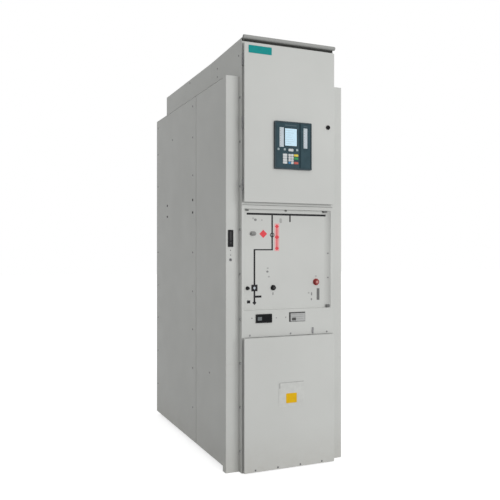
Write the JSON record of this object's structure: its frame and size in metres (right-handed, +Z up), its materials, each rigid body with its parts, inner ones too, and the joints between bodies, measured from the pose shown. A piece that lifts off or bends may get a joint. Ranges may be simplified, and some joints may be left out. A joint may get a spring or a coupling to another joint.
{
  "type": "gas-insulated medium-voltage switchgear panel",
  "caption": "Tall grey sheet-steel switchgear panel with a hinged low-voltage door and relay above a recessed control board, a cable cover below, and an end wall on each side",
  "frame": {"origin": "on the floor, under the middle of the panel's box", "axes": "+Z up; the front with the door faces -Y; +X is to the right of someone who faces the door"},
  "size_m": [0.722, 1.486, 2.362],
  "materials": {
    "housing_paint": "light grey powder coat with a fine orange peel, semi-matt",
    "zinc_steel": "zinc-plated sheet steel, dull",
    "seal_rubber": "matt black rubber profile",
    "black_plastic": "fine-grained black moulded plastic",
    "grey_plastic": "mid grey moulded plastic",
    "red_plastic": "red moulded plastic",
    "relay_slate": "slate blue-grey moulded plastic, semi-matt"
  },
  "bodies": {
    "cabinet": {"base_rail_left": "zinc_steel", "base_rail_right": "zinc_steel", "lower_side_left": "housing_paint", "lower_side_right": "housing_paint", "upper_side_left": "housing_paint", "upper_side_right": "housing_paint", "lv_side_left": "housing_paint", "lv_side_right": "housing_paint", "lv_post_left": "housing_paint", "lv_post_right": "housing_paint", "cable_post_left": "housing_paint", "cable_post_right": "housing_paint", "left_wall_nose_upper": "housing_paint", "right_wall_nose_upper": "housing_paint", "left_wall_nose_lower": "housing_paint", "right_wall_nose_lower": "housing_paint", "left_wall_side_front": "housing_paint", "right_wall_side_front": "housing_paint", "left_wall_side_rear": "housing_paint", "right_wall_side_rear": "housing_paint", "left_wall_cap": "housing_paint", "right_wall_cap": "housing_paint", "left_wall_back": "housing_paint", "right_wall_back": "housing_paint", "rear_lower_cover": "housing_paint", "rear_upper_cover": "housing_paint", "roof_rear": "housing_paint", "roof_front": "housing_paint", "lv_floor": "housing_paint", "lv_back_wall": "housing_paint", "lv_top_rail": "housing_paint", "cross_rail": "housing_paint", "cable_top_rail": "housing_paint", "cable_sill": "housing_paint", "cable_cover": "housing_paint", "mechanism_cover": "housing_paint", "control_board": "housing_paint", "floor_plate": "zinc_steel", "frame_hinges": "zinc_steel", "end_wall_lock": "zinc_steel", "cable_cover_seal": "seal_rubber", "lv_door_seal": "seal_rubber", "black_knobs": "black_plastic", "voltage_indicator": "black_plastic", "end_wall_handle": "black_plastic", "selector_knob": "grey_plastic", "red_knob": "red_plastic"},
    "low_voltage_door": {"lv_door": "housing_paint", "relay_front": "relay_slate", "relay_case": "zinc_steel", "door_lock": "black_plastic", "door_hinges": "zinc_steel"}
  },
  "joints": [
    {"name": "door_hinge", "type": "hinge", "parent": "cabinet", "child": "low_voltage_door", "pos_m": [-0.281, -0.7135, 1.89], "axis": [0, 0, -1], "range_deg": [0, 120]}
  ]
}
